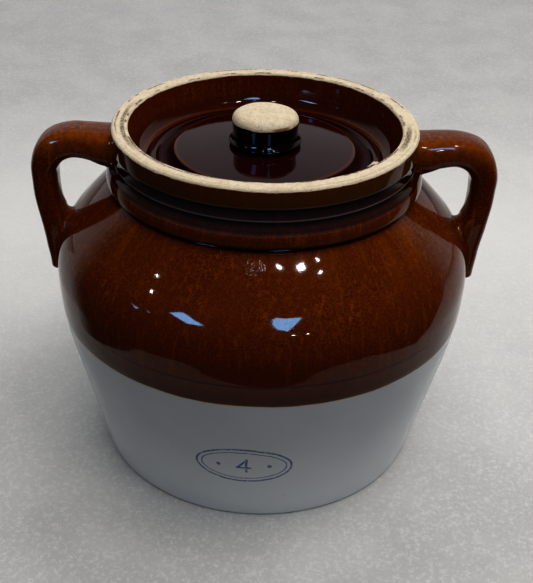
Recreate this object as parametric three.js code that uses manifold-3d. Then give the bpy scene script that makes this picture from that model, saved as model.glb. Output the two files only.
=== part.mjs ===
// Two-handled stoneware butter crock with a lid that drops inside its collar.
// Millimetres, +Z up, origin at the centre of the foot. The handles stand at -X and +X.
// Five fired pieces: crock body, left handle, right handle, lid plate and lid knob.

import * as THREE from 'three';
import { mergeVertices } from 'three/addons/utils/BufferGeometryUtils.js';
import Module from 'manifold-3d';

const wasm = await Module();
wasm.setup();

// ---- driving dimensions ----
const GAP = 0.3; // clearance between pieces that touch
const SEGMENTS = 64; // facets round the crock and the lid
const KNOB_SEGMENTS = 36;

const FOOT_RADIUS = 85.2; // flat resting ring and base
const FOOT_ROUND = 2.4;
const BASE_RADIUS = 87.2; // where the straight side starts
const BELLY_RADIUS = 107.0; // widest circle
const BELLY_Z = 105.5;
const SIDE_LEAN = THREE.MathUtils.degToRad(13.2); // straight side, from vertical
const SIDE_ARC = 172; // side's long arc below the widest circle
const SHOULDER_ARC = 38;
const SHOULDER_LEAN = THREE.MathUtils.degToRad(45.5);
const CREASE_RADIUS = 76.6; // where the shoulder meets the neck rings
const CREASE_Z = 151.4;

const RIM_Z = 181;
const RIM_RADIUS = 76;
const MOUTH_RADIUS = 68;
const WALL = 7;
const FLOOR = 8;
const FLOOR_ROUND = 14;
const SEAT_Z = 158.7; // ledge that carries the lid
const SEAT_RADIUS = 59.7;
const THROAT_RADIUS = 50;
const THROAT_LOWER_Z = 150.6;

const LID_RADIUS = 58.6;
const LID_BOTTOM_Z = SEAT_Z + GAP;
const LID_EDGE_Z = 164.6;
const DOME_EDGE_RADIUS = 45.2;
const DOME_ARC = 560; // radius of the lid's nearly flat top
const DOME_TOP_Z = 169.7;
const LID_HOLLOW_RADIUS = 49;
const LID_HOLLOW_Z = 162.2;

const KNOB_FOOT_RADIUS = 18;
const KNOB_RADIUS = 16;
const KNOB_TOP_RADIUS = 16.6;
const KNOB_TOP_Z = 187.1;

const HANDLE_SIDES = 16;
const HANDLE_STEPS = 26;
// Handle's centre line, from the neck round to the belly: distance from the axis, height,
// half thickness in the handle's plane and half width across it.
const HANDLE_ROUTE = [
  [70, 166.3, 10.2, 12.6],
  [79, 166.8, 9.7, 12.2],
  [88, 168.5, 8.3, 11.3],
  [98, 168.7, 7.9, 11],
  [106.4, 165.2, 8, 10.8],
  [111.2, 157, 7, 10.6],
  [111.8, 147, 6.5, 10.4],
  [111.5, 140, 6.3, 10.2],
  [110.6, 133.5, 6.2, 10],
  [109, 127, 6.8, 9.8],
  [107.3, 118, 7.2, 9.5],
  [106.7, 109, 6.7, 9.1],
  [106.5, 102.5, 6.1, 8.5],
  [106.3, 96.6, 5.9, 7.6],
];

// ---- materials ----
function finish(name, colour, roughness) {
  return new THREE.MeshStandardMaterial({ name, color: colour, roughness, metalness: 0 });
}

const bodyGlaze = finish('crock_glaze', 0x5a2a16, 0.12);
const handleGlaze = finish('handle_glaze', 0x53230f, 0.12);
const lidGlaze = finish('lid_glaze', 0x2e120c, 0.1);
const bareClay = finish('bare_clay', 0xd9ccb1, 0.85);

// ---- shared geometry ----

// Turns a profile of (radius, height) about Z.
function turned(path, curveSteps, segments) {
  const geometry = new THREE.LatheGeometry(path.getPoints(curveSteps), segments);
  geometry.rotateX(Math.PI / 2);
  return geometry;
}

// Outside of the crock from the foot's centre to just under the rim, grown outwards by grow.
function crockOutside(grow) {
  const path = new THREE.Path();
  const sideCentre = BELLY_RADIUS - SIDE_ARC;
  const shoulderCentre = BELLY_RADIUS - SHOULDER_ARC;
  path.moveTo(0, -grow);
  path.lineTo(FOOT_RADIUS + grow, -grow);
  path.quadraticCurveTo(BASE_RADIUS - 0.4 + grow, 0, BASE_RADIUS + grow, FOOT_ROUND);
  path.absarc(sideCentre + grow, BELLY_Z, SIDE_ARC, -SIDE_LEAN, 0, false);
  path.absarc(shoulderCentre + grow, BELLY_Z, SHOULDER_ARC, 0, SHOULDER_LEAN, false);
  path.lineTo(CREASE_RADIUS + grow, CREASE_Z);
  addNeckRings(path, grow);
  return path;
}

// Large roll, narrow ring and collar band, going up from the crease.
function addNeckRings(path, grow) {
  const rings = [
    // control point and end point of each curve
    [79.3, 151.9, 79.6, 154.4],
    [79.7, 157.4, 78.2, 160.7],
    [76.9, 162.3, 75.4, 163.4],
    [75.7, 164.4, 76.1, 165.3],
    [75.3, 166.6, 75, 168.8],
    [75, 170.6, 76.2, 171.4],
    [76.3, 176.4, RIM_RADIUS, RIM_Z - 1.8],
  ];
  for (const [controlR, controlZ, endR, endZ] of rings) {
    path.quadraticCurveTo(controlR + grow, controlZ, endR + grow, endZ);
  }
}

// Rounded rim, flared collar wall, lid ledge, throat and the hollow below, down to the floor.
function addCrockInside(path) {
  const wallCosine = Math.cos(SHOULDER_LEAN) * WALL;
  const wallSine = Math.sin(SHOULDER_LEAN) * WALL;
  const sideCentre = BELLY_RADIUS - SIDE_ARC;
  const shoulderCentre = BELLY_RADIUS - SHOULDER_ARC;
  path.quadraticCurveTo(RIM_RADIUS - 0.2, RIM_Z, RIM_RADIUS - 2.2, RIM_Z);
  path.lineTo(MOUTH_RADIUS + 1.4, RIM_Z);
  path.quadraticCurveTo(MOUTH_RADIUS + 0.1, RIM_Z, MOUTH_RADIUS - 0.2, RIM_Z - 1.4);
  path.lineTo(MOUTH_RADIUS - 1.7, LID_EDGE_Z + 4.6);
  path.quadraticCurveTo(MOUTH_RADIUS - 2.4, LID_EDGE_Z - 0.2, SEAT_RADIUS, LID_EDGE_Z - 1.6);
  path.lineTo(SEAT_RADIUS, SEAT_Z + 0.5);
  path.lineTo(SEAT_RADIUS - 0.5, SEAT_Z);
  path.lineTo(THROAT_RADIUS + 1.5, SEAT_Z);
  path.quadraticCurveTo(THROAT_RADIUS, SEAT_Z, THROAT_RADIUS, SEAT_Z - 1.5);
  path.lineTo(THROAT_RADIUS, THROAT_LOWER_Z + 2);
  path.quadraticCurveTo(
    THROAT_RADIUS + 0.3,
    THROAT_LOWER_Z - 0.4,
    THROAT_RADIUS + 4,
    THROAT_LOWER_Z - 0.8,
  );
  path.quadraticCurveTo(
    CREASE_RADIUS - wallCosine - 5,
    CREASE_Z - wallSine + 2.6,
    CREASE_RADIUS - wallCosine,
    CREASE_Z - wallSine,
  );
  path.absarc(shoulderCentre, BELLY_Z, SHOULDER_ARC - WALL, SHOULDER_LEAN, 0, true);
  path.absarc(sideCentre, BELLY_Z, SIDE_ARC - WALL, 0, -SIDE_LEAN, true);
  const side = BELLY_RADIUS - SIDE_ARC + (SIDE_ARC - WALL) * Math.cos(SIDE_LEAN);
  const sideZ = BELLY_Z - (SIDE_ARC - WALL) * Math.sin(SIDE_LEAN);
  const cornerZ = FLOOR + FLOOR_ROUND;
  const cornerRadius = side - (sideZ - cornerZ) * Math.tan(SIDE_LEAN);
  path.lineTo(cornerRadius, cornerZ);
  path.quadraticCurveTo(
    cornerRadius - FLOOR_ROUND * Math.tan(SIDE_LEAN),
    FLOOR,
    cornerRadius - FLOOR_ROUND * 1.3,
    FLOOR,
  );
  path.lineTo(0, FLOOR);
}

// Closed tube whose centre line and section follow route, in the XZ plane.
function taperedSweep(route, steps, sides) {
  const line = new THREE.CatmullRomCurve3(
    route.map(([x, z]) => new THREE.Vector3(x, 0, z)),
    false,
    'centripetal',
  );
  const size = new THREE.CatmullRomCurve3(
    route.map(([, , thick, wide]) => new THREE.Vector3(thick, wide, 0)),
  );
  const positions = [];
  for (let i = 0; i <= steps; i += 1) {
    const t = i / steps;
    const centre = line.getPoint(t);
    const tangent = line.getTangent(t);
    const inward = new THREE.Vector3(tangent.z, 0, -tangent.x);
    const { x: thick, y: wide } = size.getPoint(t);
    for (let j = 0; j < sides; j += 1) {
      const angle = (2 * Math.PI * j) / sides;
      const across = roundedSquare(Math.cos(angle)) * thick;
      const along = roundedSquare(Math.sin(angle)) * wide;
      const point = centre.clone().addScaledVector(inward, across);
      positions.push(point.x, along, point.z);
    }
  }
  return closedTube(positions, steps, sides);
}

// Pushes a circle's coordinate outwards, so that the section is a soft rectangle.
function roundedSquare(value) {
  return Math.sign(value) * Math.abs(value) ** 0.72;
}

// Joins rings of points into a tube and fans its two ends.
function closedTube(positions, steps, sides) {
  const index = [];
  for (let i = 0; i < steps; i += 1) {
    for (let j = 0; j < sides; j += 1) {
      const a = i * sides + j;
      const b = i * sides + ((j + 1) % sides);
      index.push(a, b, a + sides, b, b + sides, a + sides);
    }
  }
  const last = steps * sides;
  for (let j = 1; j < sides - 1; j += 1) {
    index.push(0, j + 1, j);
    index.push(last, last + j, last + j + 1);
  }
  const geometry = new THREE.BufferGeometry();
  geometry.setAttribute('position', new THREE.Float32BufferAttribute(positions, 3));
  geometry.setIndex(index);
  return geometry;
}

function toManifold(geometry) {
  const bare = geometry.clone();
  bare.deleteAttribute('normal');
  bare.deleteAttribute('uv');
  const merged = mergeVertices(bare, 1e-4);
  return new wasm.Manifold(
    new wasm.Mesh({
      numProp: 3,
      vertProperties: new Float32Array(merged.attributes.position.array),
      triVerts: new Uint32Array(dropSlivers(merged.index.array)),
    }),
  );
}

// Triangles that shrink to a line where a profile meets the axis are left out.
function dropSlivers(index) {
  const kept = [];
  for (let i = 0; i < index.length; i += 3) {
    const [a, b, c] = index.slice(i, i + 3);
    if (a !== b && b !== c && c !== a) {
      kept.push(a, b, c);
    }
  }
  return kept;
}

function fromManifold(solid) {
  const { vertProperties, triVerts } = solid.getMesh();
  const geometry = new THREE.BufferGeometry();
  geometry.setAttribute('position', new THREE.BufferAttribute(new Float32Array(vertProperties), 3));
  geometry.setIndex(new THREE.BufferAttribute(new Uint32Array(triVerts), 1));
  geometry.computeVertexNormals();
  return geometry;
}

function piece(name, geometry, material) {
  const mesh = new THREE.Mesh(geometry, material);
  mesh.name = name;
  return mesh;
}

// ---- pieces ----
function crockBody() {
  const path = crockOutside(0);
  addCrockInside(path);
  return piece('crock_body', turned(path, 2, SEGMENTS), bodyGlaze);
}

// The crock's outside as a solid, a little larger, which trims both ends of each handle.
function handleTrim() {
  const path = crockOutside(GAP * 1.4);
  path.lineTo(RIM_RADIUS, RIM_Z + GAP);
  path.lineTo(0, RIM_Z + GAP);
  return toManifold(turned(path, 2, SEGMENTS));
}

function handle(name, side, trim) {
  const swept = taperedSweep(HANDLE_ROUTE, HANDLE_STEPS, HANDLE_SIDES);
  const trimmed = fromManifold(toManifold(swept).subtract(trim));
  if (side < 0) {
    trimmed.rotateZ(Math.PI);
  }
  return piece(name, trimmed, handleGlaze);
}

function domeZ(radius) {
  return DOME_TOP_Z - DOME_ARC + Math.sqrt(DOME_ARC ** 2 - radius ** 2);
}

// A raised edge, a channel inside it and a nearly flat top, with a hollow underneath.
function lidPlate() {
  const seat = KNOB_FOOT_RADIUS + 1;
  const edgeZ = domeZ(DOME_EDGE_RADIUS);
  const path = new THREE.Path();
  path.moveTo(0, LID_HOLLOW_Z);
  path.quadraticCurveTo(LID_HOLLOW_RADIUS - 8, LID_HOLLOW_Z, LID_HOLLOW_RADIUS, LID_BOTTOM_Z);
  path.lineTo(LID_RADIUS - 1.4, LID_BOTTOM_Z);
  path.quadraticCurveTo(LID_RADIUS, LID_BOTTOM_Z, LID_RADIUS, LID_BOTTOM_Z + 1.4);
  path.lineTo(LID_RADIUS, LID_EDGE_Z - 1.2);
  path.quadraticCurveTo(LID_RADIUS, LID_EDGE_Z, LID_RADIUS - 1.2, LID_EDGE_Z);
  path.lineTo(LID_RADIUS - 3, LID_EDGE_Z);
  path.quadraticCurveTo(LID_RADIUS - 3.8, LID_EDGE_Z, LID_RADIUS - 4.8, LID_EDGE_Z - 1.2);
  path.quadraticCurveTo(LID_RADIUS - 6.5, LID_EDGE_Z - 3, LID_RADIUS - 9, LID_EDGE_Z - 2.2);
  path.quadraticCurveTo(
    DOME_EDGE_RADIUS + 2.2,
    LID_EDGE_Z - 1.4,
    DOME_EDGE_RADIUS + 1.1,
    edgeZ - 1,
  );
  path.quadraticCurveTo(DOME_EDGE_RADIUS + 0.9, edgeZ - 0.1, DOME_EDGE_RADIUS, edgeZ);
  const edgeAngle = Math.acos(DOME_EDGE_RADIUS / DOME_ARC);
  const seatAngle = Math.acos(seat / DOME_ARC);
  path.absarc(0, DOME_TOP_Z - DOME_ARC, DOME_ARC, edgeAngle, seatAngle, false);
  path.lineTo(0, domeZ(seat));
  return piece('lid_plate', turned(path, 2, SEGMENTS), lidGlaze);
}

function lidKnob() {
  const footZ = domeZ(KNOB_FOOT_RADIUS + 1) + GAP;
  const path = new THREE.Path();
  path.moveTo(0, footZ);
  path.lineTo(KNOB_RADIUS + 0.6, footZ);
  path.quadraticCurveTo(KNOB_FOOT_RADIUS, footZ + 0.6, KNOB_FOOT_RADIUS, footZ + 2.2);
  path.quadraticCurveTo(KNOB_RADIUS + 0.4, footZ + 3, KNOB_RADIUS, footZ + 5);
  path.lineTo(KNOB_TOP_RADIUS, KNOB_TOP_Z - 5.4);
  path.quadraticCurveTo(
    KNOB_TOP_RADIUS,
    KNOB_TOP_Z - 1.6,
    KNOB_TOP_RADIUS - 4.2,
    KNOB_TOP_Z - 0.9,
  );
  path.quadraticCurveTo(KNOB_TOP_RADIUS - 9, KNOB_TOP_Z, 0, KNOB_TOP_Z);
  return piece('lid_knob', turned(path, 3, KNOB_SEGMENTS), bareClay);
}

// ---- assembly ----
const crock = new THREE.Group();
const trim = handleTrim();
crock.add(crockBody());
crock.add(handle('left_handle', -1, trim));
crock.add(handle('right_handle', 1, trim));
crock.add(lidPlate());
crock.add(lidKnob());

export default crock;
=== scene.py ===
"""Looks of a two-handled stoneware butter crock: brown and white glaze, bare clay rim and knob top.

Every piece is mesh code in millimetres about the crock's upright axis, turned into metres when
its mesh is made. Angles round the crock start at the front (-Y) and grow towards +X.
"""

import math

import bpy
import numpy as np
from mathutils import Matrix, Vector


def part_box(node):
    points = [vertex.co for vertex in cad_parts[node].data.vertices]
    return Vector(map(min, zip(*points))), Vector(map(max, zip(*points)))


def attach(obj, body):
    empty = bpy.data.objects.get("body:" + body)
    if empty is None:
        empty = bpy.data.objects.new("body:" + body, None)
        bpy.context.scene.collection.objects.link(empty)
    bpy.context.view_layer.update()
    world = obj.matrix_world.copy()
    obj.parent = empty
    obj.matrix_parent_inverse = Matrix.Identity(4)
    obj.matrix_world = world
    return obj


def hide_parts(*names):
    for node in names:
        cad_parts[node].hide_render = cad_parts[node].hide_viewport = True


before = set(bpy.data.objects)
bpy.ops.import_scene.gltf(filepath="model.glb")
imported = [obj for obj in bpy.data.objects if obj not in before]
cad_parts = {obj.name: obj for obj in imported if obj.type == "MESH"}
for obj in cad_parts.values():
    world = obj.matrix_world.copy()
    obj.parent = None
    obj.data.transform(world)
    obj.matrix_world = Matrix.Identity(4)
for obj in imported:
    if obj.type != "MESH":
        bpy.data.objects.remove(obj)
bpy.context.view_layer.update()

MM = 0.001


def millimetres(node):
    """Lowest and highest corner of a CAD node in mm."""
    low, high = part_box(node)
    return [value / MM for value in low], [value / MM for value in high]


# ---- driving dimensions in mm, from the frame ----
_, CROCK_TOP = millimetres("crock_body")
LID_LOW, LID_TOP = millimetres("lid_plate")
KNOB_LOW, KNOB_TOP = millimetres("lid_knob")

BELLY_RADIUS = CROCK_TOP[0]
RIM_Z = CROCK_TOP[2]
LID_RADIUS = LID_TOP[0]
LID_BOTTOM_Z = LID_LOW[2]
KNOB_FOOT_RADIUS = KNOB_TOP[0]
KNOB_FOOT_Z = KNOB_LOW[2]
KNOB_TOP_Z = KNOB_TOP[2]

# ---- the crock's other dimensions in mm ----
FOOT_RADIUS = 85.2
FOOT_ROUND = 2.4
BASE_RADIUS = 87.2
BELLY_Z = 105.5
SIDE_LEAN = math.radians(13.2)
SIDE_ARC = 172.0
SHOULDER_ARC = 38.0
SHOULDER_LEAN = math.radians(45.5)
SHOULDER_SWELL = 0.9  # the slope up to the neck is slightly full
CREASE_RADIUS = 76.6
CREASE_Z = 151.4
RIM_RADIUS = 76.0
MOUTH_RADIUS = 68.0
WALL = 7.0
FLOOR = 8.0
FLOOR_ROUND = 14.0
SEAT_Z = 158.7
SEAT_RADIUS = 59.7
THROAT_RADIUS = 50.0
THROAT_LOWER_Z = 150.6
GLAZE_LINE_Z = 85.0  # brown glaze above, white glaze below

LID_EDGE_Z = 164.6
DOME_EDGE_RADIUS = 45.2
DOME_ARC = 560.0
DOME_FLAT_RADIUS = KNOB_FOOT_RADIUS + 1  # flat under the knob
DOME_TOP_Z = LID_TOP[2] + DOME_ARC - math.sqrt(DOME_ARC**2 - DOME_FLAT_RADIUS**2)
LID_HOLLOW_RADIUS = 49.0
LID_HOLLOW_Z = 162.2

KNOB_RADIUS = 16.0
KNOB_TOP_RADIUS = 16.6

# Handle's centre line on the +X side: distance from the axis, height, half thickness in the
# handle's plane and half width across it.
HANDLE_ROUTE = [
    (70, 166.3, 10.2, 12.6),
    (79, 166.8, 9.7, 12.2),
    (88, 168.5, 8.3, 11.3),
    (98, 168.7, 7.9, 11),
    (106.4, 165.2, 8, 10.8),
    (111.2, 157, 7, 10.6),
    (111.8, 147, 6.5, 10.4),
    (111.5, 140, 6.3, 10.2),
    (110.6, 133.5, 6.2, 10),
    (109, 127, 6.8, 9.8),
    (107.3, 118, 7.2, 9.5),
    (106.7, 109, 6.7, 9.1),
    (106.5, 102.5, 6.1, 8.5),
    (106.3, 96.6, 5.9, 7.6),
]
HANDLE_SQUARENESS = 0.68  # 1 is an oval section, less is a rounder rectangle
HANDLE_FILLET = 1.6  # clay smeared round each handle's ends
CROTCH_FILLET = 11.0  # and more of it in the sharp corner above the lower end
FILLET_SINK = 24.0  # radius that curves the smeared clay down onto the belly
HANDLE_END_ROUND = 2.4
HANDLE_TOP_Z = 176.6  # the upper joint stays flat here, just under the rim
HANDLE_RINGS = 190
HANDLE_SIDES = 72
HANDLE_LENGTH = 160.0  # about, along the centre line

ROUND_SEGMENTS = 320
KNOB_SEGMENTS = 160
COARSE_STEP = 1.5  # between an outline's points
FINE_STEP = 0.7


# ---- outlines ----
class Outline:
    """A turned piece's outline as (radius, height) points, with named places along it."""

    def __init__(self, radius, height, step=COARSE_STEP):
        self.points = [(radius, height)]
        self.step = step
        self.places = {}

    def name(self, place):
        """Names the point reached so far."""
        self.places[place] = len(self.points) - 1
        return self

    def _count(self, length):
        return max(3, math.ceil(length / self.step))

    def line(self, radius, height):
        r0, z0 = self.points[-1]
        count = self._count(math.hypot(radius - r0, height - z0))
        for i in range(1, count + 1):
            t = i / count
            self.points.append((r0 + (radius - r0) * t, z0 + (height - z0) * t))
        return self

    def quad(self, control_r, control_z, radius, height):
        r0, z0 = self.points[-1]
        length = math.hypot(control_r - r0, control_z - z0)
        length += math.hypot(radius - control_r, height - control_z)
        count = self._count(length * 1.6)
        for i in range(1, count + 1):
            t = i / count
            a, b, c = (1 - t) ** 2, 2 * t * (1 - t), t * t
            point = (a * r0 + b * control_r + c * radius, a * z0 + b * control_z + c * height)
            self.points.append(point)
        return self

    def arc(self, centre_r, centre_z, radius, start, end):
        count = self._count(abs(end - start) * radius)
        for i in range(count + 1):
            angle = start + (end - start) * i / count
            r, z = centre_r + radius * math.cos(angle), centre_z + radius * math.sin(angle)
            if math.dist((r, z), self.points[-1]) > 0.01:
                self.points.append((r, z))
        return self

    def lengths(self):
        """Distance along the outline of each point."""
        points = np.array(self.points)
        steps = np.hypot(*np.diff(points, axis=0).T)
        return np.concatenate([[0.0], np.cumsum(steps)])

    def at(self, place):
        """Distance along the outline of a named place."""
        return float(self.lengths()[self.places[place]])


def crock_outside():
    """From the foot's centre up to the neck's top band."""
    side = BELLY_RADIUS - SIDE_ARC
    shoulder = BELLY_RADIUS - SHOULDER_ARC
    outline = Outline(0, 0)
    outline.line(FOOT_RADIUS, 0).name("foot")
    outline.quad(BASE_RADIUS - 0.4, 0, BASE_RADIUS, FOOT_ROUND).name("base")
    outline.arc(side, BELLY_Z, SIDE_ARC, -SIDE_LEAN, 0).name("belly")
    outline.arc(shoulder, BELLY_Z, SHOULDER_ARC, 0, SHOULDER_LEAN)
    slope_r, slope_z = outline.points[-1]
    swell_r = (slope_r + CREASE_RADIUS) / 2 + SHOULDER_SWELL
    swell_z = (slope_z + CREASE_Z) / 2 + SHOULDER_SWELL
    outline.quad(swell_r, swell_z, CREASE_RADIUS, CREASE_Z).name("crease")
    neck_rings = [
        (79.3, 151.9, 79.6, 154.4),
        (79.7, 157.4, 78.2, 160.7),
        (78.0, 161.2, 77.6, 161.3),
        (75.4, 161.6, 75.4, 163.2),
        (75.4, 164.6, 75.8, 164.9),
        (76.2, 165.2, 75.8, 165.6),
        (75.2, 166.4, 75.0, 168.4),
        (74.9, 170.4, 75.4, 170.7),
        (76.1, 171.0, 76.2, 171.8),
        (76.3, 176.4, RIM_RADIUS, RIM_Z - 1.8),
    ]
    outline.step = FINE_STEP
    for ring in neck_rings:
        outline.quad(*ring)
    return outline.name("rim_outside")


def crock_outline():
    """The whole crock, from under the foot, over the rim and down to the floor inside."""
    outline = crock_outside()
    outline.quad(RIM_RADIUS - 0.2, RIM_Z, RIM_RADIUS - 2.2, RIM_Z)
    outline.line(MOUTH_RADIUS + 1.4, RIM_Z)
    outline.quad(MOUTH_RADIUS + 0.1, RIM_Z, MOUTH_RADIUS - 0.2, RIM_Z - 1.4).name("rim_inside")
    outline.line(MOUTH_RADIUS - 1.7, LID_EDGE_Z + 4.6)
    outline.quad(MOUTH_RADIUS - 2.4, LID_EDGE_Z - 0.2, SEAT_RADIUS, LID_EDGE_Z - 1.6)
    outline.name("collar_foot")
    outline.step = COARSE_STEP
    outline.line(SEAT_RADIUS, SEAT_Z + 0.5)
    outline.line(SEAT_RADIUS - 0.5, SEAT_Z).name("seat")
    outline.line(THROAT_RADIUS + 1.5, SEAT_Z)
    outline.quad(THROAT_RADIUS, SEAT_Z, THROAT_RADIUS, SEAT_Z - 1.5).name("throat")
    outline.line(THROAT_RADIUS, THROAT_LOWER_Z + 2)
    low = THROAT_LOWER_Z
    outline.quad(THROAT_RADIUS + 0.3, low - 0.4, THROAT_RADIUS + 4, low - 0.8)
    wall_r = CREASE_RADIUS - math.cos(SHOULDER_LEAN) * WALL
    wall_z = CREASE_Z - math.sin(SHOULDER_LEAN) * WALL
    outline.quad(wall_r - 5, wall_z + 2.6, wall_r, wall_z)
    outline.arc(BELLY_RADIUS - SHOULDER_ARC, BELLY_Z, SHOULDER_ARC - WALL, SHOULDER_LEAN, 0)
    outline.arc(BELLY_RADIUS - SIDE_ARC, BELLY_Z, SIDE_ARC - WALL, 0, -SIDE_LEAN)
    side_r, side_z = outline.points[-1]
    corner_z = FLOOR + FLOOR_ROUND
    corner_r = side_r - (side_z - corner_z) * math.tan(SIDE_LEAN)
    outline.line(corner_r, corner_z)
    turn_r = corner_r - FLOOR_ROUND * math.tan(SIDE_LEAN)
    outline.quad(turn_r, FLOOR, corner_r - FLOOR_ROUND * 1.3, FLOOR)
    return outline.line(0, FLOOR)


def dome_z(radius):
    """Height of the lid's shallow dome at a radius."""
    return DOME_TOP_Z - DOME_ARC + math.sqrt(DOME_ARC**2 - radius**2)


def lid_outline():
    """From the hollow under the lid, round its raised edge and over the dome."""
    outline = Outline(0, LID_HOLLOW_Z, step=1.0)
    outline.quad(LID_HOLLOW_RADIUS - 8, LID_HOLLOW_Z, LID_HOLLOW_RADIUS, LID_BOTTOM_Z)
    outline.line(LID_RADIUS - 1.4, LID_BOTTOM_Z)
    outline.quad(LID_RADIUS, LID_BOTTOM_Z, LID_RADIUS, LID_BOTTOM_Z + 1.4).name("edge")
    outline.line(LID_RADIUS, LID_EDGE_Z - 1.2)
    outline.quad(LID_RADIUS, LID_EDGE_Z, LID_RADIUS - 1.2, LID_EDGE_Z)
    outline.line(LID_RADIUS - 3, LID_EDGE_Z)
    outline.quad(LID_RADIUS - 3.8, LID_EDGE_Z, LID_RADIUS - 4.8, LID_EDGE_Z - 1.2)
    outline.quad(LID_RADIUS - 6.5, LID_EDGE_Z - 3, LID_RADIUS - 9, LID_EDGE_Z - 2.2)
    edge_z = dome_z(DOME_EDGE_RADIUS)
    outline.quad(DOME_EDGE_RADIUS + 2.2, LID_EDGE_Z - 1.4, DOME_EDGE_RADIUS + 1.1, edge_z - 1)
    outline.quad(DOME_EDGE_RADIUS + 0.9, edge_z - 0.1, DOME_EDGE_RADIUS, edge_z)
    start = math.acos(DOME_EDGE_RADIUS / DOME_ARC)
    end = math.acos(DOME_FLAT_RADIUS / DOME_ARC)
    outline.arc(0, DOME_TOP_Z - DOME_ARC, DOME_ARC, start, end)
    return outline.line(0, dome_z(DOME_FLAT_RADIUS))


def knob_outline():
    """A short drum with a small skirt, slightly wider at its crowned top."""
    foot = KNOB_FOOT_Z
    outline = Outline(0, foot, step=0.7)
    outline.line(KNOB_RADIUS + 0.6, foot)
    outline.quad(KNOB_FOOT_RADIUS, foot + 0.6, KNOB_FOOT_RADIUS, foot + 2.2)
    outline.quad(KNOB_RADIUS + 0.4, foot + 3, KNOB_RADIUS, foot + 5)
    outline.line(KNOB_TOP_RADIUS, KNOB_TOP_Z - 5.4).name("shoulder")
    top_r = KNOB_TOP_RADIUS
    outline.quad(top_r, KNOB_TOP_Z - 1.6, top_r - 4.2, KNOB_TOP_Z - 0.9)
    return outline.quad(top_r - 9, KNOB_TOP_Z, 0, KNOB_TOP_Z)


# ---- meshes ----
def ripple(angle, seed, waves=5, slowest=2):
    """A smooth random wave round the crock, between about -1 and 1."""
    random = np.random.default_rng(seed)
    total = np.zeros_like(angle)
    for i in range(waves):
        phase = random.uniform(0, 2 * math.pi)
        total += np.sin((slowest + i) * angle + phase) / (1 + 0.5 * i)
    return total / 2.0


def bump_at(value, centre, width):
    """A smooth hill of height 1."""
    return np.exp(-(((value - centre) / width) ** 2))


def step_at(value, centre, width):
    """Rises smoothly from 0 to 1."""
    return 0.5 + 0.5 * np.tanh((value - centre) / width)


def make_object(name, points, faces, along=None):
    """A smooth mesh object from points in mm; along is kept as a float attribute."""
    mesh = bpy.data.meshes.new(name)
    mesh.from_pydata((np.asarray(points) * MM).tolist(), [], faces)
    mesh.update()
    mesh.shade_smooth()
    if along is not None:
        layer = mesh.attributes.new("along", "FLOAT", "POINT")
        layer.data.foreach_set("value", np.asarray(along, np.float32))
    made = bpy.data.objects.new(name, mesh)
    bpy.context.scene.collection.objects.link(made)
    return made


def turned(name, outline, segments, shift):
    """Turns an outline about Z. shift(angle, along, r, z) gives how far each point moves in r and z."""
    profile = np.array(outline.points)
    along = outline.lengths()
    angle = 2 * math.pi * np.arange(segments) / segments
    inner = slice(1, -1)
    r = np.repeat(profile[inner, 0, None], segments, 1)
    z = np.repeat(profile[inner, 1, None], segments, 1)
    a = np.repeat(angle[None, :], len(r), 0)
    s = np.repeat(along[inner, None], segments, 1)
    move_r, move_z = shift(a, s, r, z)
    r, z = r + move_r, z + move_z
    ring_points = np.stack([r * np.sin(a), -r * np.cos(a), z], -1).reshape(-1, 3)
    points = np.concatenate([ring_points, [(0, 0, profile[0, 1]), (0, 0, profile[-1, 1])]])
    rings = len(r)
    first_pole, last_pole = rings * segments, rings * segments + 1
    faces = []
    for i in range(rings - 1):
        for j in range(segments):
            k = (j + 1) % segments
            low, high = i * segments, (i + 1) * segments
            faces.append((low + j, low + k, high + k, high + j))
    for j in range(segments):
        k = (j + 1) % segments
        top = (rings - 1) * segments
        faces.append((first_pole, k, j))
        faces.append((last_pole, top + j, top + k))
    lengths = np.concatenate([s.reshape(-1), [along[0], along[-1]]])
    return make_object(name, points, faces, lengths)


def catmull(points, count):
    """Points on a centripetal curve through the given ones, evenly spread in its own parameter."""
    points = np.array(points, float)
    ends = (2 * points[0] - points[1], 2 * points[-1] - points[-2])
    p = np.vstack([ends[0], points, ends[1]])
    knots = np.concatenate([[0], np.cumsum(np.linalg.norm(np.diff(p[:, :2], axis=0), axis=1) ** 0.5)])
    spans = np.linspace(knots[1], knots[-2], count)
    made = []
    for t in spans:
        i = int(np.clip(np.searchsorted(knots, t, "right") - 1, 1, len(p) - 3))
        t0, t1, t2, t3 = knots[i - 1 : i + 3]
        a1 = ((t1 - t) * p[i - 1] + (t - t0) * p[i]) / (t1 - t0)
        a2 = ((t2 - t) * p[i] + (t - t1) * p[i + 1]) / (t2 - t1)
        a3 = ((t3 - t) * p[i + 1] + (t - t2) * p[i + 2]) / (t3 - t2)
        b1 = ((t2 - t) * a1 + (t - t0) * a2) / (t2 - t0)
        b2 = ((t3 - t) * a2 + (t - t1) * a3) / (t3 - t1)
        made.append(((t2 - t) * b1 + (t - t1) * b2) / (t2 - t1))
    return np.array(made)


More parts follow.
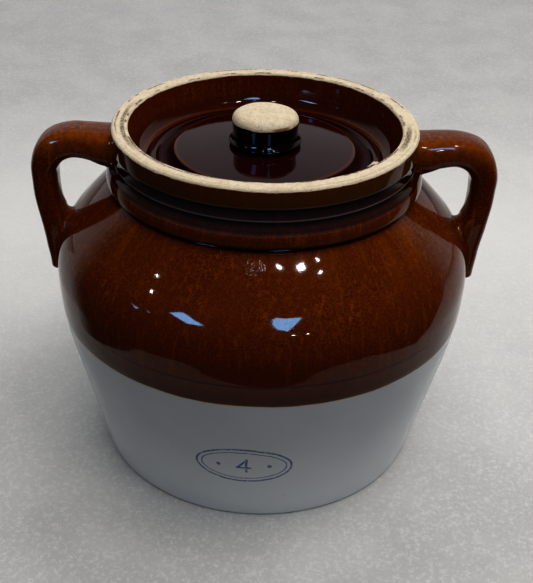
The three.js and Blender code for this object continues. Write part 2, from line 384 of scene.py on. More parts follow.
def outside_distance(points):
    """Signed distance of points to the crock's outside, and its outward direction there."""
    profile = np.array(crock_outside().points)
    start, end = profile[:-1], profile[1:]
    edge = end - start
    flat = np.stack([np.hypot(points[:, 0], points[:, 1]), points[:, 2]], -1)
    rel = flat[:, None, :] - start[None]
    t = np.clip((rel * edge).sum(-1) / (edge**2).sum(-1), 0, 1)
    near = start + t[..., None] * edge
    gap = flat[:, None, :] - near
    length = np.linalg.norm(gap, axis=-1)
    best = length.argmin(1)
    rows = np.arange(len(points))
    normal = np.stack([edge[best, 1], -edge[best, 0]], -1)
    normal /= np.linalg.norm(normal, axis=1, keepdims=True)
    side = np.sign((gap[rows, best] * normal).sum(-1))
    away = gap[rows, best] / np.maximum(length[rows, best], 1e-6)[:, None] * side[:, None]
    away = np.where(length[rows, best, None] > 0.2, away, normal)
    radial = points[:, :2] / flat[:, :1]
    outward = np.stack([away[:, 0] * radial[:, 0], away[:, 0] * radial[:, 1], away[:, 1]], -1)
    return side * length[rows, best], outward


def soft_square(value):
    """Pushes a circle's coordinate outwards, so that the section is a soft rectangle."""
    return np.sign(value) * np.abs(value) ** HANDLE_SQUARENESS


def smear_ends(points, centres):
    """Spreads the handle's clay where it meets the crock, as a smoothed joint does."""
    distance, outward = outside_distance(points)
    away = points - centres
    away -= (away * outward).sum(1, keepdims=True) * outward
    away /= np.maximum(np.linalg.norm(away, axis=1, keepdims=True), 1e-6)
    upward = np.where(points[:, 2] < CREASE_Z, np.clip(away[:, 2], 0, 1) ** 2, 0)
    fillet = HANDLE_FILLET + (CROTCH_FILLET - HANDLE_FILLET) * upward
    depth = np.clip(fillet - distance, 0, fillet)
    spread = fillet - np.sqrt(np.maximum(fillet**2 - depth**2, 0))
    sink = spread**2 / (2 * FILLET_SINK)
    moved = points + away * spread[:, None] - outward * sink[:, None]
    moved[:, 2] = np.minimum(moved[:, 2], np.maximum(points[:, 2], HANDLE_TOP_Z))
    return moved


def handle(name, side):
    """A pulled strap handle from the neck round to the belly; side is 1 for +X and -1 for -X."""
    route = catmull(HANDLE_ROUTE, HANDLE_RINGS)
    tangent = np.gradient(route[:, :2], axis=0)
    tangent /= np.linalg.norm(tangent, axis=1, keepdims=True)
    across = np.stack([tangent[:, 1], -tangent[:, 0]], -1)
    turn = 2 * math.pi * np.arange(HANDLE_SIDES) / HANDLE_SIDES
    to_end = np.linalg.norm(route[:, :2] - route[-1, :2], axis=1)
    blunt = 1 - np.minimum(to_end / HANDLE_END_ROUND, 1)
    taper = np.sqrt(1 - 0.96 * blunt**2)[:, None]
    thick = soft_square(np.cos(turn))[None, :] * (route[:, 2, None] - HANDLE_END_ROUND * (1 - taper))
    wide = soft_square(np.sin(turn))[None, :] * (route[:, 3, None] - HANDLE_END_ROUND * (1 - taper))
    share = np.linspace(0, 1, HANDLE_RINGS)
    wave = np.repeat(2 * math.pi * share[:, None], HANDLE_SIDES, 1)
    thick_seed, wide_seed = (11, 21) if side > 0 else (12, 22)
    thick = thick * (1 + 0.02 * ripple(wave, thick_seed, waves=6, slowest=3))
    wide = wide + 0.35 * ripple(wave, wide_seed, slowest=1)
    x = route[:, 0, None] + across[:, 0, None] * thick
    z = route[:, 1, None] + across[:, 1, None] * thick
    points = np.stack([x, wide, z], -1).reshape(-1, 3)
    middle = np.stack([route[:, 0], np.zeros(HANDLE_RINGS), route[:, 1]], -1)
    centres = np.repeat(middle, HANDLE_SIDES, 0)
    points = smear_ends(points, centres)
    if side < 0:
        points[:, :2] *= -1
    faces = []
    for i in range(HANDLE_RINGS - 1):
        for j in range(HANDLE_SIDES):
            k = (j + 1) % HANDLE_SIDES
            a, b = i * HANDLE_SIDES, (i + 1) * HANDLE_SIDES
            faces.append((a + j, a + k, b + k, b + j))
    last = (HANDLE_RINGS - 1) * HANDLE_SIDES
    faces.append(tuple(range(HANDLE_SIDES))[::-1])
    faces.append(tuple(last + j for j in range(HANDLE_SIDES)))
    along = np.repeat(share * HANDLE_LENGTH, HANDLE_SIDES)
    return make_object(name, points, faces, along)


OUTER_RIDGE_PITCH = 9.5  # between the throwing ridges on the belly and shoulder
COLLAR_RIDGE_PITCH = 4.6  # and on the collar's inside
GLAZE_THICKNESS = 0.30  # of the brown glaze where it ends over the white


def crock_shift(outline):
    """Hand-thrown unevenness of the crock, and the brown glaze's thickness over the white."""
    rim = (outline.at("rim_outside") + outline.at("rim_inside")) / 2
    collar = (outline.at("rim_inside") + outline.at("collar_foot")) / 2
    crease = outline.at("crease")

    def shift(angle, along, r, z):
        outside = 1 - step_at(along, rim, 0.5)
        inside = step_at(along, outline.at("rim_inside"), 1.0) * (1 - step_at(along, collar, 60))
        line = GLAZE_LINE_Z + 0.5 * ripple(angle, 3, waves=9, slowest=3)
        brown = step_at(z, line, 0.5) * outside
        free = step_at(along, outline.at("base") + 8, 4) * outside
        move_r = GLAZE_THICKNESS * brown
        outer_turn = 2 * math.pi * z / OUTER_RIDGE_PITCH
        move_r += 0.016 * free * np.sin(outer_turn + 1.5 * np.sin(angle))
        move_r += 0.12 * free * ripple(angle, 4, slowest=2)
        near_rim = bump_at(along, rim, 14)
        move_r += near_rim * (0.25 * np.cos(2 * angle + math.pi) + 0.18 * ripple(angle, 5))
        collar_turn = 2 * math.pi * z / COLLAR_RIDGE_PITCH
        throwing = np.sin(collar_turn + 0.6 * np.sin(angle)) + 0.35 * np.sin(2 * collar_turn + 1.0)
        move_r += 0.062 * inside * throwing * bump_at(along, collar, 12)
        move_r -= 0.25 * bump_at(along, crease, 0.8)
        move_z = near_rim * 0.22 * ripple(angle, 6, waves=7)
        return move_r, move_z

    return shift


# Distances along the lid's outline from the middle of its underside.
LID_UNDER_ALONG = 52.0  # the bare clay ends here
LID_UPPER_ALONG = 66.0  # the raised edge's top begins here


def lid_shift(angle, along, r, z):
    """A little warp of the pressed lid, and its dome's soft edge."""
    top = step_at(along, LID_UPPER_ALONG, 2)
    edge = bump_at(r, DOME_EDGE_RADIUS, 5)
    move_r = 0.25 * edge * ripple(angle, 31, waves=6) * top
    move_z = top * (0.12 * ripple(angle, 32, slowest=2) * (r / LID_RADIUS) ** 2)
    return move_r, move_z


def knob_shift(angle, along, r, z):
    """The knob's hand-trimmed edge."""
    share = r / KNOB_TOP_RADIUS
    move_r = 0.22 * share * ripple(angle, 41, waves=7)
    upper = step_at(z, KNOB_TOP_Z - 6, 1.0)
    move_z = upper * share * 0.18 * ripple(angle, 42, waves=8)
    return move_r, move_z


# ---- materials ----
class Shader:
    """One material's nodes. Methods take sockets or constants and give back a socket."""

    def __init__(self, name):
        self.material = bpy.data.materials.new(name)
        self.material.use_nodes = True
        self.tree = self.material.node_tree
        self.tree.nodes.clear()
        place = self.tree.nodes.new("ShaderNodeTexCoord").outputs["Object"]
        self.place = self.vector("SCALE", place, scale=1 / MM)
        split = self.node("ShaderNodeSeparateXYZ", {"Vector": self.place})
        self.x, self.y, self.z = (split.outputs[axis] for axis in "XYZ")
        squares = self.sum(self.product(self.x, self.x), self.product(self.y, self.y))
        self.radius = self.math("SQRT", squares)
        self.angle = self.math("ARCTAN2", self.x, self.product(self.y, -1.0))
        self.along = self.node("ShaderNodeAttribute", {}, attribute_name="along").outputs["Fac"]

    def node(self, kind, inputs, **settings):
        made = self.tree.nodes.new(kind)
        for key, value in settings.items():
            setattr(made, key, value)
        for key, value in inputs.items():
            self.feed(made.inputs[key], value)
        return made

    def feed(self, socket, value):
        if isinstance(value, bpy.types.NodeSocket):
            self.tree.links.new(value, socket)
        else:
            socket.default_value = value

    def math(self, operation, a, b=0.0, clamp=False):
        made = self.node("ShaderNodeMath", {0: a, 1: b}, operation=operation, use_clamp=clamp)
        return made.outputs[0]

    def sum(self, a, b):
        return self.math("ADD", a, b)

    def less(self, a, b):
        return self.math("SUBTRACT", a, b)

    def product(self, a, b):
        return self.math("MULTIPLY", a, b)

    def vector(self, operation, a, b=(0, 0, 0), scale=1.0):
        inputs = {0: a, "Scale": scale} if operation == "SCALE" else {0: a}
        if operation not in ("SCALE", "LENGTH"):
            inputs[1] = b
        made = self.node("ShaderNodeVectorMath", inputs, operation=operation)
        return made.outputs["Value" if operation in ("LENGTH", "DOT_PRODUCT") else "Vector"]

    def point(self, x, y, z=0.0):
        return self.node("ShaderNodeCombineXYZ", {0: x, 1: y, 2: z}).outputs[0]

    def ramp(self, value, low, high, to_low=0.0, to_high=1.0):
        """Smooth step of value from low to high, clamped."""
        inputs = {"Value": value, "From Min": low, "From Max": high, "To Min": to_low, "To Max": to_high}
        return self.node("ShaderNodeMapRange", inputs, interpolation_type="SMOOTHSTEP").outputs[0]

    def noise(self, scale, detail=2.0, roughness=0.5, place=None, seed=0.0):
        """Noise from 0 to 1 with about scale features a millimetre."""
        inputs = {
            "Vector": self.place if place is None else place,
            "W": seed,
            "Scale": scale,
            "Detail": detail,
            "Roughness": roughness,
        }
        made = self.node("ShaderNodeTexNoise", inputs, noise_dimensions="4D")
        return made.outputs["Fac"]

    def mix(self, factor, a, b):
        """Colour a where factor is 0 and b where it is 1."""
        made = self.tree.nodes.new("ShaderNodeMix")
        made.data_type = "RGBA"
        self.feed(made.inputs["Factor"], factor)
        self.feed(made.inputs["A"], a)
        self.feed(made.inputs["B"], b)
        return made.outputs["Result"]

    def blend(self, factor, a, b):
        """Number a where factor is 0 and b where it is 1."""
        made = self.tree.nodes.new("ShaderNodeMix")
        self.feed(made.inputs["Factor"], factor)
        self.feed(made.inputs["A"], a)
        self.feed(made.inputs["B"], b)
        return made.outputs["Result"]

    def band(self, value, low, high, soft):
        """1 between low and high, fading over soft at each side."""
        rise = self.ramp(value, self.less(low, soft), self.sum(low, soft))
        fall = self.ramp(value, self.less(high, soft), self.sum(high, soft), 1.0, 0.0)
        return self.product(rise, fall)

    def bump(self, height, normal=None):
        """Relief of a height in mm."""
        inputs = {"Height": height, "Distance": MM}
        if normal is not None:
            inputs["Normal"] = normal
        return self.node("ShaderNodeBump", inputs).outputs["Normal"]

    def surface(self, colour, roughness, normal, ior):
        shader = self.tree.nodes.new("ShaderNodeBsdfPrincipled")
        self.feed(shader.inputs["Base Color"], colour)
        self.feed(shader.inputs["Roughness"], roughness)
        self.feed(shader.inputs["Normal"], normal)
        shader.inputs["IOR"].default_value = ior
        shader.inputs["Specular IOR Level"].default_value = SPECULAR_LEVEL
        output = self.tree.nodes.new("ShaderNodeOutputMaterial")
        self.tree.links.new(shader.outputs[0], output.inputs["Surface"])
        return self.material


def rgb(red, green, blue):
    """A linear colour with full opacity."""
    return (red, green, blue, 1.0)


GLAZE_IOR = 1.5
FLOOR_IOR = 1.4
SPECULAR_LEVEL = 0.27
GLAZE_ROUGHNESS = 0.06
WHITE_ROUGHNESS = 0.16
CLAY_ROUGHNESS = 0.85
FLOOR_ROUGHNESS = 0.6
GROOVE_ROUGHNESS = 0.9  # the neck's groove, painted near black as shade, is dull in front
CHANNEL_ROUGHNESS = 0.5  # and so is the lid's channel
BROWN = rgb(0.104, 0.0212, 0.0032)
BROWN_DARK = rgb(0.030, 0.0050, 0.0018)
AMBER = rgb(0.30, 0.085, 0.0090)
# near black: glaze pooled at the dip line, and painted shade in the neck's groove
POOLED_GLAZE_AND_SHADE = rgb(0.010, 0.0007, 0.0008)
OLIVE = rgb(0.096, 0.0430, 0.0060)
# golden glaze brightened as painted reflection of the tabletop, low on the neck's roll
GOLD_AND_PAINTED_REFLECTION = rgb(0.135, 0.0600, 0.0085)
# grey painted highlight lines on the neck's ring edges
PAINTED_HIGHLIGHT_GREY = rgb(0.150, 0.115, 0.108)
LID_BROWN = rgb(0.022, 0.0024, 0.0032)
KNOB_BLACK = rgb(0.004, 0.0018, 0.0026)
WHITE = rgb(0.60, 0.63, 0.672)
WHITE_SHADE = rgb(0.51, 0.54, 0.58)
# white brightened by painted bounce light from the floor
WHITE_PAINTED_BOUNCE = rgb(0.72, 0.75, 0.78)
BUFF = rgb(0.70, 0.585, 0.42)
BUFF_PALE = rgb(0.78, 0.685, 0.53)
SAND = rgb(0.46, 0.36, 0.24)
STAIN = rgb(0.10, 0.060, 0.036)
INK = rgb(0.050, 0.110, 0.24)
KNOB_NICK = rgb(0.17, 0.085, 0.012)
FLOOR_GREY = rgb(0.50, 0.50, 0.50)
FLOOR_CLOUD = rgb(0.57, 0.565, 0.56)
# painted pool of light on the floor
FLOOR_PAINTED_LIGHT = rgb(0.84, 0.835, 0.82)
FLOOR_FLECK = rgb(0.80, 0.80, 0.78)


def brown_glaze(s, amber_amount):
    """Mottled brown glaze colour: fine amber specks and rivulets over a red-brown ground."""
    speck = s.ramp(s.noise(1.05, 4.0, 0.75, seed=1.0), 0.42, 0.66)
    cloud = s.ramp(s.noise(0.045, 2.0, 0.5, seed=2.0), 0.35, 0.7)
    run_place = s.point(s.product(s.x, 0.42), s.product(s.y, 0.42), s.product(s.z, 0.035))
    run = s.ramp(s.noise(1.0, 3.0, 0.55, place=run_place, seed=3.0), 0.48, 0.74)
    amber = s.product(s.sum(s.product(speck, 0.42), s.product(run, 0.4)), amber_amount)
    amber = s.product(amber, s.sum(0.60, s.product(cloud, 0.50)))
    ground = s.mix(s.product(cloud, 0.25), BROWN, BROWN_DARK)
    return s.mix(s.math("MINIMUM", amber, 1.0), ground, AMBER)


def clay(s):
    """Bare fired clay: buff with paler patches and fine dark pores."""
    patches = s.ramp(s.noise(0.30, 4.0, 0.75, seed=7.0), 0.38, 0.62)
    colour = s.mix(patches, BUFF, BUFF_PALE)
    sand = s.ramp(s.noise(1.6, 2.0, 0.8, seed=13.0), 0.45, 0.65)
    colour = s.mix(s.product(sand, 0.22), colour, SAND)
    pits = s.ramp(s.noise(0.95, 2.0, 0.75, seed=8.0), 0.62, 0.68)
    return s.mix(s.product(pits, 0.55), colour, STAIN)


def clay_relief(s):
    """Height in mm of bare clay's grain and dents."""
    grain = s.product(s.noise(1.2, 3.0, 0.7, seed=9.0), 0.34)
    return s.sum(grain, s.product(s.noise(0.3, 2.0, 0.5, seed=10.0), 0.4))


def glaze_relief(s, amount=1.0):
    """The slight unevenness that bends reflections in a poured glaze."""
    broad = s.product(s.noise(0.035, 2.0, 0.4, seed=11.0), 0.35)
    fine = s.product(s.noise(0.30, 1.0, 0.5, seed=12.0), 0.010)
    return s.bump(s.product(s.sum(broad, fine), amount))


def segment_distance(s, place, start, end):
    """Distance from a flat place to the stroke between two points."""
    edge = Vector((end[0] - start[0], end[1] - start[1], 0))
    relative = s.vector("SUBTRACT", place, (*start, 0))
    share = s.product(s.vector("DOT_PRODUCT", relative, tuple(edge)), 1 / edge.length_squared)
    share = s.math("MULTIPLY", share, 1.0, clamp=True)
    reach = s.node("ShaderNodeVectorMath", {0: tuple(edge), "Scale": share}, operation="SCALE")
    return s.vector("LENGTH", s.vector("SUBTRACT", relative, reach.outputs["Vector"]))


def oval_distance(s, place, half_width, half_height):
    """About the distance from a flat place to an oval outline."""
    unit = (1 / half_width, 1 / half_height, 0)
    square = (1 / half_width**2, 1 / half_height**2, 0)
    ratio = s.vector("LENGTH", s.vector("MULTIPLY", place, unit))
    slope = s.vector("LENGTH", s.vector("MULTIPLY", place, square))
    return s.math("ABSOLUTE", s.math("DIVIDE", s.product(ratio, s.less(ratio, 1.0)), slope))


INK_SPREAD = 0.22  # how far a stroke's edge fades either way


def stroke(s, distance, half_width):
    """1 on a stroke of the blue mark and 0 off it."""
    return s.ramp(distance, half_width - INK_SPREAD, half_width + INK_SPREAD, 1.0, 0.0)


MARK_ANGLE = math.radians(-3.9)
MARK_RADIUS = 96.5
MARK_ALONG = 128.5  # distance along the outline from the foot's centre
MARK_OVALS = [(23.5, 12.6, 0.55), (21.0, 10.2, 0.32)]  # half width, half height, half stroke
NUMERAL = [((1.3, 4.6), (-3.2, -1.6)), ((-3.4, -1.6), (3.3, -1.6)), ((1.3, 4.8), (1.3, -4.6))]


def capacity_mark(s):
    """A plain capacity mark in blue under the white glaze: a double oval round a numeral 4."""
    across = s.product(s.less(s.angle, MARK_ANGLE), MARK_RADIUS)
    up = s.less(s.along, MARK_ALONG)
    drift_x = s.product(s.less(s.noise(0.22, 2.0, 0.5, seed=15.0), 0.5), 1.1)
    drift_y = s.product(s.less(s.noise(0.22, 2.0, 0.5, seed=16.0), 0.5), 1.1)
    place = s.point(s.sum(across, drift_x), s.sum(up, drift_y))
    ink = 0.0
    for half_width, half_height, half_stroke in MARK_OVALS:
        oval = stroke(s, oval_distance(s, place, half_width, half_height), half_stroke)
        ink = s.math("MAXIMUM", ink, oval)
    for start, end in NUMERAL:
        ink = s.math("MAXIMUM", ink, stroke(s, segment_distance(s, place, start, end), 0.62))
    for centre in (-12.5, 12.5):
        dot = s.vector("LENGTH", s.vector("SUBTRACT", place, (centre, 0, 0)))
        ink = s.math("MAXIMUM", ink, stroke(s, dot, 1.2))
    broken = s.ramp(s.noise(0.8, 3.0, 0.6, seed=17.0), 0.30, 0.52, 0.35, 1.0)
    front = s.math("LESS_THAN", s.y, 0.0)
    return s.product(s.product(ink, broken), s.product(front, 0.92))


def white_glaze(s):
    """Bluish white glaze, paler near the foot as painted light bounced up from the floor, with pinholes
    and the blue mark.
    """
    cloud = s.ramp(s.noise(0.03, 3.0, 0.5, seed=20.0), 0.3, 0.7)
    colour = s.mix(s.product(cloud, 0.4), WHITE, WHITE_SHADE)
    # painted light: the white pales towards the foot as if lit by light bounced up from the floor
    colour = s.mix(s.ramp(s.z, 4.0, 62.0, 1.0, 0.0), colour, WHITE_PAINTED_BOUNCE)
    pinhole = s.ramp(s.noise(0.55, 2.0, 0.7, seed=21.0), 0.72, 0.78)
    colour = s.mix(s.product(pinhole, 0.5), colour, STAIN)
    return s.mix(capacity_mark(s), colour, INK)


def wavy(s, middle, amount, scale, seed):
    """A distance that wanders by amount mm either side of middle."""
    return s.sum(middle, s.product(s.less(s.noise(scale, 3.0, 0.6, seed=seed), 0.5), 2 * amount))


def rim_stains(s, low, high):
    """Kiln marks on the bare rim: broken dark lines near its edges and pebbly smudges at the sides."""
    turn = s.product(s.angle, 180 / math.pi)
    outer = s.band(s.along, s.sum(low, 2.4), s.sum(low, 3.3), 0.25)
    outer = s.product(outer, s.ramp(s.y, -30.0, 10.0, 0.25, 1.0))
    inner = s.band(s.along, s.less(high, wavy(s, 2.3, 0.5, 0.3, 39.0)), s.less(high, 1.2), 0.25)
    near = s.band(s.math("ABSOLUTE", s.less(turn, 2.0)), 18.0, 62.0, 10.0)
    patchy = s.ramp(s.sum(s.noise(0.10, 3.0, 0.65, seed=33.0), s.product(near, 0.09)), 0.46, 0.56)
    ragged = s.ramp(s.noise(0.9, 2.0, 0.7, seed=35.0), 0.34, 0.48)
    lines = s.product(s.product(s.math("MAXIMUM", outer, inner), patchy), ragged)
    pebbles = s.ramp(s.noise(1.3, 3.0, 0.8, seed=34.0), 0.43, 0.52, 0.25, 1.0)
    left_in = wavy(s, 70.0, 0.8, 0.2, 38.0)
    left = s.product(s.band(turn, -104.0, -62.0, 10.0), s.band(s.radius, left_in, 72.0, 0.5))
    tail = s.product(s.band(turn, -64.0, -24.0, 8.0), s.band(s.radius, 69.5, 70.4, 0.3))
    right = s.product(s.band(turn, 66.0, 87.0, 5.0), s.band(s.radius, left_in, 72.6, 0.5))
    smudges = s.product(s.math("MAXIMUM", s.math("MAXIMUM", left, tail), right), pebbles)
    return s.math("MAXIMUM", lines, smudges)


def neck_glaze(s, colour, outside):
    """Neck colours: near black painted shade in the groove, olive on the upright collar, a golden band low
    on the roll brightened as painted reflection of the tabletop, and grey painted highlight lines on two
    ring edges.
    """
    # the first band is painted shade over the groove; the last is golden glaze brightened as painted
    # reflection of the tabletop
    bands = [(160.0, 171.2, 0.85, POOLED_GLAZE_AND_SHADE), (171.2, 178.4, 0.8, OLIVE), (150.6, 155.4, 0.6, GOLD_AND_PAINTED_REFLECTION)]
    for low, high, amount, tone in bands:
        edge_low, edge_high = wavy(s, low, 0.3, 0.08, low), wavy(s, high, 0.3, 0.08, high)
        band = s.product(s.band(s.z, edge_low, edge_high, 1.0), outside)
        colour = s.mix(s.product(band, amount), colour, tone)
    # painted highlights: thin grey lines along the lower edges of two rings
    for low, high in ((164.8, 165.6), (171.4, 172.0)):
        band = s.product(s.band(s.z, low, high, 0.3), outside)
        colour = s.mix(s.product(band, 0.85), colour, PAINTED_HIGHLIGHT_GREY)
    return colour


def shoulder_streaks(s, outside):
    """Amber rivulets that run down from the neck, more of them towards the sides."""
    place = s.point(s.product(s.angle, 11.0), s.product(s.z, 0.012), 0.0)
    streak = s.ramp(s.noise(1.0, 3.0, 0.6, place=place, seed=37.0), 0.46, 0.68)
    turn = s.math("ABSOLUTE", s.less(s.angle, -0.12))
    streak = s.product(streak, s.ramp(turn, 0.25, 0.6))
    return s.product(s.product(streak, s.ramp(s.z, 124.0, 148.0)), outside)


def brown_coat(s, outside, inner):
    """The crock's brown glaze: thinner and darker low down, banded at the neck with painted shade and
    highlights, and darkened deeper inside the collar as painted shade.
    """
    colour = brown_glaze(s, s.ramp(s.z, 88.0, 112.0, 0.25, 1.0))
    lower_band = s.product(s.ramp(s.z, 84.0, 98.0, 0.55, 0.0), outside)
    colour = s.mix(lower_band, colour, BROWN_DARK)
    dip = s.band(s.z, wavy(s, 96.4, 0.9, 0.03, 36.0), wavy(s, 97.3, 0.9, 0.03, 36.0), 0.35)
    # the dip line is a real line of pooled glaze
    colour = s.mix(s.product(s.product(dip, outside), 0.75), colour, POOLED_GLAZE_AND_SHADE)
    colour = s.mix(s.product(shoulder_streaks(s, outside), 0.38), colour, AMBER)
    colour = neck_glaze(s, colour, outside)
    # painted shade: the inside of the collar darkens with depth below the rim
    inner_shade = s.ramp(s.z, 165.5, 171.0, 0.80, 0.12)
    colour = s.mix(s.product(inner, inner_shade), colour, BROWN_DARK)
    collar_foot = s.product(s.ramp(s.z, 163.5, 164.2, 1.0, 0.0), inner)
    return s.mix(s.product(collar_foot, 0.12), colour, AMBER)


def crock_roughness(s, outside, below, bare):
    """Glossy brown glaze, duller in the neck's groove, satin white glaze and matt clay."""
    groove = s.product(s.band(s.z, 159.0, 171.3, 0.5), outside)
    ahead = s.ramp(s.math("ABSOLUTE", s.angle), 0.7, 1.1, 1.0, 0.0)
    roughness = s.blend(s.product(groove, ahead), GLAZE_ROUGHNESS, GROOVE_ROUGHNESS)
    roughness = s.blend(below, roughness, WHITE_ROUGHNESS)
    return s.blend(bare, roughness, CLAY_ROUGHNESS)


SCUFF = (-3.5, -83.4, 145.6)  # a rubbed patch that breaks up a highlight


def crock_material(outline):
    """Brown glaze above white glaze, bare clay on the rim and under the foot."""
    s = Shader("crock_glazes")
    rim_out, rim_in = outline.at("rim_outside"), outline.at("rim_inside")
    low = wavy(s, rim_out + 0.4, 0.9, 0.12, 30.0)
    high = wavy(s, rim_in - 0.2, 0.7, 0.12, 31.0)
    rim = s.band(s.along, low, high, 0.18)
    under = s.ramp(s.along, outline.at("foot") - 1.5, outline.at("foot"), 1.0, 0.0)
    bare = s.math("MAXIMUM", rim, under)
    outside = s.math("LESS_THAN", s.along, rim_out)
    inner = s.math("GREATER_THAN", s.along, rim_in)
    line = wavy(s, GLAZE_LINE_Z, 0.7, 0.05, 32.0)
    below = s.product(s.ramp(s.z, s.less(line, 0.35), line, 1.0, 0.0), outside)
    seam = s.product(s.band(s.z, s.less(line, 0.9), s.sum(line, 0.15), 0.3), outside)

    colour = s.mix(below, brown_coat(s, outside, inner), white_glaze(s))
    colour = s.mix(s.product(seam, 0.75), colour, BUFF)
    rim_colour = s.mix(s.product(rim_stains(s, low, high), 0.88), clay(s), STAIN)
    colour = s.mix(bare, colour, rim_colour)

    scuff = s.vector("LENGTH", s.vector("SUBTRACT", s.place, SCUFF))
    scuff = s.ramp(scuff, 1.5, 6.0, 1.0, 0.0)
    roughness = s.sum(crock_roughness(s, outside, below, bare), s.product(scuff, 0.01))
    scratches = s.product(s.product(s.noise(1.2, 2.0, 0.8, seed=42.0), 0.32), scuff)
    normal = s.bump(scratches, normal=glaze_relief(s))
    normal = s.bump(s.product(clay_relief(s), bare), normal=normal)
    return s.surface(colour, roughness, normal, GLAZE_IOR)


def handle_material():
    """The same brown glaze, richer in amber, and worn amber along the upper bend's two edges."""
    s = Shader("handle_glaze")
    colour = brown_glaze(s, 1.6)
    crest = s.product(s.ramp(s.z, 161.0, 169.0), s.ramp(s.math("ABSOLUTE", s.y), 4.5, 8.5))
    worn = s.ramp(s.noise(0.4, 3.0, 0.65, seed=55.0), 0.35, 0.65, 0.25, 0.7)
    colour = s.mix(s.product(crest, worn), colour, AMBER)
    return s.surface(colour, GLAZE_ROUGHNESS, glaze_relief(s), GLAZE_IOR)


CHIP = (54.0, -10.0, 164.4)
CHIP_SHRINK = (0.30, 0.55, 0.45)  # less makes the chip longer along that axis
SPECK = (-24.3, -27.9, 166.5)


def lid_material():
    """Nearly black glaze, red-brown where it thins, with one chip and bare clay underneath."""
    s = Shader("lid_glaze")
    mottle = s.ramp(s.noise(0.5, 3.0, 0.6, seed=40.0), 0.4, 0.7)
    colour = s.mix(s.product(mottle, 0.25), LID_BROWN, BROWN_DARK)
    thin = s.band(s.radius, DOME_EDGE_RADIUS - 0.9, DOME_EDGE_RADIUS + 0.5, 0.5)
    colour = s.mix(s.product(thin, 0.6), colour, BROWN)
    brim = s.band(s.radius, LID_RADIUS - 1.9, LID_RADIUS - 0.2, 0.5)
    colour = s.mix(s.product(brim, 0.2), colour, BROWN)
    from_chip = s.vector("MULTIPLY", s.vector("SUBTRACT", s.place, CHIP), CHIP_SHRINK)
    chip_edge = s.product(s.less(s.noise(0.6, 2.0, seed=41.0), 0.5), 1.2)
    chip = s.ramp(s.sum(s.vector("LENGTH", from_chip), chip_edge), 0.9, 1.05, 1.0, 0.0)
    speck = s.vector("LENGTH", s.vector("SUBTRACT", s.place, SPECK))
    speck = s.product(s.ramp(speck, 0.7, 1.1, 1.0, 0.0), 0.6)
    under = s.ramp(s.along, LID_UNDER_ALONG, LID_UNDER_ALONG + 1.0, 1.0, 0.0)
    bare = s.math("MAXIMUM", s.math("MAXIMUM", chip, speck), under)
    colour = s.mix(bare, colour, clay(s))
    channel = s.band(s.radius, DOME_EDGE_RADIUS + 0.8, LID_RADIUS - 5.0, 0.5)
    roughness = s.blend(channel, GLAZE_ROUGHNESS, CHANNEL_ROUGHNESS)
    roughness = s.blend(bare, roughness, CLAY_ROUGHNESS)
    normal = s.bump(s.product(clay_relief(s), bare), normal=glaze_relief(s, 0.5))
    return s.surface(colour, roughness, normal, GLAZE_IOR)


def knob_material(outline):
    """Black glazed side and a wiped, bare clay top with an amber nick at its edge."""
    s = Shader("knob_glaze")
    middle = outline.at("shoulder") + 0.4
    edge = wavy(s, middle, 0.8, 0.16, 50.0)
    bare = s.ramp(s.along, s.less(edge, 0.15), s.sum(edge, 0.15))
    nick = s.band(s.angle, math.radians(14), math.radians(44), 0.12)
    nick = s.product(nick, s.band(s.along, middle - 1.0, middle + 1.6, 0.3))
    dark = s.mix(s.ramp(s.noise(0.3, 2.0, seed=51.0), 0.4, 0.7, 0.0, 0.3), KNOB_BLACK, BROWN_DARK)
    top = s.mix(s.product(nick, 0.85), clay(s), KNOB_NICK)
    colour = s.mix(bare, dark, top)
    roughness = s.blend(bare, GLAZE_ROUGHNESS, CLAY_ROUGHNESS)
    normal = s.bump(s.product(clay_relief(s), bare), normal=glaze_relief(s, 0.5))
    return s.surface(colour, roughness, normal, GLAZE_IOR)


def floor_material():
    """A pale, faintly flecked matt tabletop, with a painted pool of light in a wide band behind the crock.
    """
    s = Shader("pale_floor")
    cloud = s.ramp(s.noise(0.02, 3.0, 0.6, seed=60.0), 0.3, 0.7)
    colour = s.mix(cloud, FLOOR_GREY, FLOOR_CLOUD)
    # painted light: a paler band behind the crock, fading again further back
    light_pool = s.product(s.ramp(s.y, -110.0, 250.0), s.ramp(s.y, 210.0, 540.0, 1.0, 0.0))
    colour = s.mix(s.product(light_pool, 0.6), colour, FLOOR_PAINTED_LIGHT)
    fleck = s.ramp(s.noise(0.45, 4.0, 0.8, seed=61.0), 0.46, 0.66)
    colour = s.mix(s.product(fleck, 0.45), colour, FLOOR_FLECK)
    normal = s.bump(s.product(s.noise(0.3, 2.0, seed=62.0), 0.1))
    return s.surface(colour, FLOOR_ROUGHNESS, normal, FLOOR_IOR)


# ---- pieces ----
def place_piece(piece, node, body, material):
    """Gives a piece its material, and makes it stand for its CAD node on that node's body."""
    piece.data.materials.append(material)
    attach(piece, body)
    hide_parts(node)


def make_pieces():
    """Every visible piece, in place of its CAD node."""
    crock = crock_outline()
    body = turned("crock_body_glazed", crock, ROUND_SEGMENTS, crock_shift(crock))
    place_piece(body, "crock_body", "crock", crock_material(crock))
    glaze = handle_material()
    for name, side in (("left_handle", -1), ("right_handle", 1)):
        place_piece(handle(name + "_glazed", side), name, "crock", glaze)
    plate = turned("lid_plate_glazed", lid_outline(), ROUND_SEGMENTS, lid_shift)
    place_piece(plate, "lid_plate", "lid", lid_material())
    knob_shape = knob_outline()
    knob = turned("lid_knob_glazed", knob_shape, KNOB_SEGMENTS, knob_shift)
    place_piece(knob, "lid_knob", "lid", knob_material(knob_shape))


# ---- stage ----
FLOOR_REACH = 4000.0  # in mm, from the crock's axis
